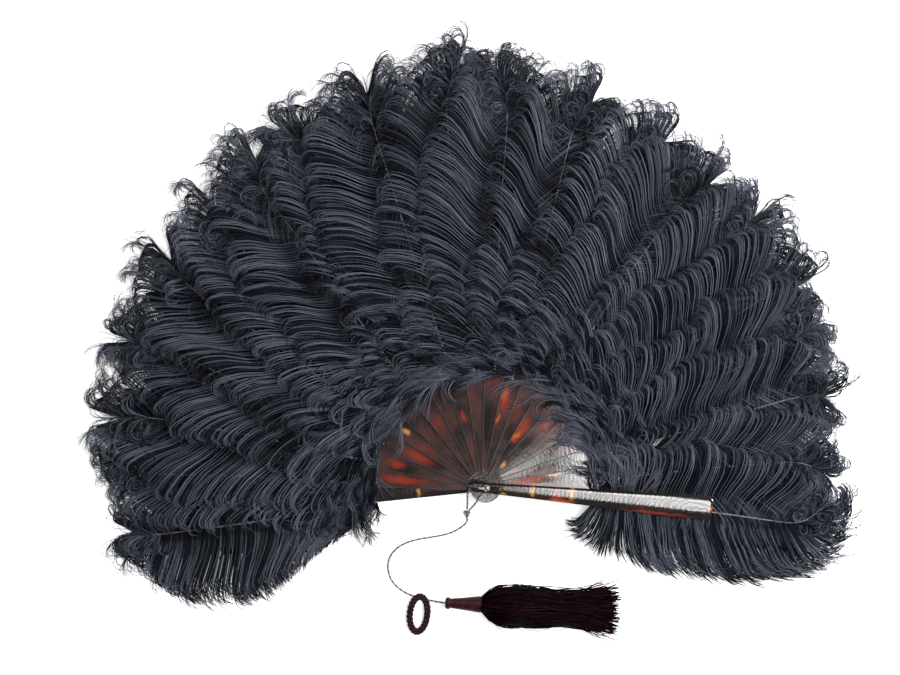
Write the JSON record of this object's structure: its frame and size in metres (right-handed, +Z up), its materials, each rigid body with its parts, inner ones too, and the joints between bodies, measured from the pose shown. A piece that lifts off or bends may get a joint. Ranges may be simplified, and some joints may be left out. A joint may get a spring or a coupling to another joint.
{
  "type": "ostrich feather fan",
  "caption": "Folding fan of black ostrich plumes on tortoiseshell sticks and guards that turn on a rivet, with a cord, a braided finger ring and a silk tassel.",
  "frame": {"origin": "on the rivet's axis, at the table the open fan lies on", "axes": "+Z up off the table; +X to the right, along the spread, with the front guard pointing 4.4 degrees below +X; +Y towards the longest plumes"},
  "size_m": [0.6882, 0.5422, 0.0268],
  "materials": {
    "tortoiseshell": "polished mottled tortoiseshell, very dark brown with amber and red patches",
    "plume": "soft black ostrich barbs with a faint blue-grey sheen",
    "gilt": "worn gilt",
    "cord": "twisted grey silk cord",
    "silk": "dark maroon silk"
  },
  "bodies": {
    "front_guard": {"front_guard": "tortoiseshell", "plume_front": "plume", "rivet": "gilt", "rivet_cap": "gilt", "cord_loop": "cord", "cord_knot": "cord", "cord": "cord", "finger_ring": "silk", "tassel_head": "silk", "tassel_skirt": "silk"},
    "rear_guard": {"rear_guard": "tortoiseshell", "plume_rear": "plume"},
    "stick_01": {"stick_01": "tortoiseshell", "plume_01": "plume"},
    "stick_02": {"stick_02": "tortoiseshell", "plume_02": "plume"},
    "stick_03": {"stick_03": "tortoiseshell", "plume_03": "plume"},
    "stick_04": {"stick_04": "tortoiseshell", "plume_04": "plume"},
    "stick_05": {"stick_05": "tortoiseshell", "plume_05": "plume"},
    "stick_06": {"stick_06": "tortoiseshell", "plume_06": "plume"},
    "stick_07": {"stick_07": "tortoiseshell", "plume_07": "plume"},
    "stick_08": {"stick_08": "tortoiseshell", "plume_08": "plume"},
    "stick_09": {"stick_09": "tortoiseshell", "plume_09": "plume"},
    "stick_10": {"stick_10": "tortoiseshell", "plume_10": "plume"},
    "stick_11": {"stick_11": "tortoiseshell", "plume_11": "plume"},
    "stick_12": {"stick_12": "tortoiseshell", "plume_12": "plume"},
    "stick_13": {"stick_13": "tortoiseshell", "plume_13": "plume"},
    "stick_14": {"stick_14": "tortoiseshell", "plume_14": "plume"},
    "stick_15": {"stick_15": "tortoiseshell", "plume_15": "plume"},
    "stick_16": {"stick_16": "tortoiseshell", "plume_16": "plume"},
    "stick_17": {"stick_17": "tortoiseshell", "plume_17": "plume"},
    "stick_18": {"stick_18": "tortoiseshell", "plume_18": "plume"}
  },
  "joints": [
    {"name": "fan_fold", "type": "hinge", "parent": "front_guard", "child": "rear_guard", "pos_m": [0, 0, 0], "axis": [0, 0, 1], "range_deg": [-189.4, 0]},
    {"name": "stick_01_turn", "type": "hinge", "parent": "front_guard", "child": "stick_01", "pos_m": [0, 0, 0], "axis": [0, 0, 1], "range_deg": [-179.44, 0.01]},
    {"name": "stick_02_turn", "type": "hinge", "parent": "front_guard", "child": "stick_02", "pos_m": [0, 0, 0], "axis": [0, 0, 1], "range_deg": [-169.47, 0.01]},
    {"name": "stick_03_turn", "type": "hinge", "parent": "front_guard", "child": "stick_03", "pos_m": [0, 0, 0], "axis": [0, 0, 1], "range_deg": [-159.5, 0.01]},
    {"name": "stick_04_turn", "type": "hinge", "parent": "front_guard", "child": "stick_04", "pos_m": [0, 0, 0], "axis": [0, 0, 1], "range_deg": [-149.54, 0.01]},
    {"name": "stick_05_turn", "type": "hinge", "parent": "front_guard", "child": "stick_05", "pos_m": [0, 0, 0], "axis": [0, 0, 1], "range_deg": [-139.57, 0.01]},
    {"name": "stick_06_turn", "type": "hinge", "parent": "front_guard", "child": "stick_06", "pos_m": [0, 0, 0], "axis": [0, 0, 1], "range_deg": [-129.6, 0.01]},
    {"name": "stick_07_turn", "type": "hinge", "parent": "front_guard", "child": "stick_07", "pos_m": [0, 0, 0], "axis": [0, 0, 1], "range_deg": [-119.63, 0.01]},
    {"name": "stick_08_turn", "type": "hinge", "parent": "front_guard", "child": "stick_08", "pos_m": [0, 0, 0], "axis": [0, 0, 1], "range_deg": [-109.66, 0.01]},
    {"name": "stick_09_turn", "type": "hinge", "parent": "front_guard", "child": "stick_09", "pos_m": [0, 0, 0], "axis": [0, 0, 1], "range_deg": [-99.69, 0.01]},
    {"name": "stick_10_turn", "type": "hinge", "parent": "front_guard", "child": "stick_10", "pos_m": [0, 0, 0], "axis": [0, 0, 1], "range_deg": [-89.73, 0.01]},
    {"name": "stick_11_turn", "type": "hinge", "parent": "front_guard", "child": "stick_11", "pos_m": [0, 0, 0], "axis": [0, 0, 1], "range_deg": [-79.76, 0.01]},
    {"name": "stick_12_turn", "type": "hinge", "parent": "front_guard", "child": "stick_12", "pos_m": [0, 0, 0], "axis": [0, 0, 1], "range_deg": [-69.79, 0.01]},
    {"name": "stick_13_turn", "type": "hinge", "parent": "front_guard", "child": "stick_13", "pos_m": [0, 0, 0], "axis": [0, 0, 1], "range_deg": [-59.82, 0.01]},
    {"name": "stick_14_turn", "type": "hinge", "parent": "front_guard", "child": "stick_14", "pos_m": [0, 0, 0], "axis": [0, 0, 1], "range_deg": [-49.85, 0.01]},
    {"name": "stick_15_turn", "type": "hinge", "parent": "front_guard", "child": "stick_15", "pos_m": [0, 0, 0], "axis": [0, 0, 1], "range_deg": [-39.88, 0.01]},
    {"name": "stick_16_turn", "type": "hinge", "parent": "front_guard", "child": "stick_16", "pos_m": [0, 0, 0], "axis": [0, 0, 1], "range_deg": [-29.91, 0.01]},
    {"name": "stick_17_turn", "type": "hinge", "parent": "front_guard", "child": "stick_17", "pos_m": [0, 0, 0], "axis": [0, 0, 1], "range_deg": [-19.95, 0.01]},
    {"name": "stick_18_turn", "type": "hinge", "parent": "front_guard", "child": "stick_18", "pos_m": [0, 0, 0], "axis": [0, 0, 1], "range_deg": [-9.98, 0.01]}
  ],
  "couplings": [
    {"joint": "stick_01_turn", "follows": "fan_fold", "ratio": 0.94737},
    {"joint": "stick_02_turn", "follows": "fan_fold", "ratio": 0.89474},
    {"joint": "stick_03_turn", "follows": "fan_fold", "ratio": 0.8421},
    {"joint": "stick_04_turn", "follows": "fan_fold", "ratio": 0.78947},
    {"joint": "stick_05_turn", "follows": "fan_fold", "ratio": 0.73684},
    {"joint": "stick_06_turn", "follows": "fan_fold", "ratio": 0.68421},
    {"joint": "stick_07_turn", "follows": "fan_fold", "ratio": 0.63158},
    {"joint": "stick_08_turn", "follows": "fan_fold", "ratio": 0.57895},
    {"joint": "stick_09_turn", "follows": "fan_fold", "ratio": 0.52632},
    {"joint": "stick_10_turn", "follows": "fan_fold", "ratio": 0.47368},
    {"joint": "stick_11_turn", "follows": "fan_fold", "ratio": 0.42105},
    {"joint": "stick_12_turn", "follows": "fan_fold", "ratio": 0.36842},
    {"joint": "stick_13_turn", "follows": "fan_fold", "ratio": 0.31579},
    {"joint": "stick_14_turn", "follows": "fan_fold", "ratio": 0.26316},
    {"joint": "stick_15_turn", "follows": "fan_fold", "ratio": 0.21053},
    {"joint": "stick_16_turn", "follows": "fan_fold", "ratio": 0.1579},
    {"joint": "stick_17_turn", "follows": "fan_fold", "ratio": 0.10526},
    {"joint": "stick_18_turn", "follows": "fan_fold", "ratio": 0.052632}
  ]
}
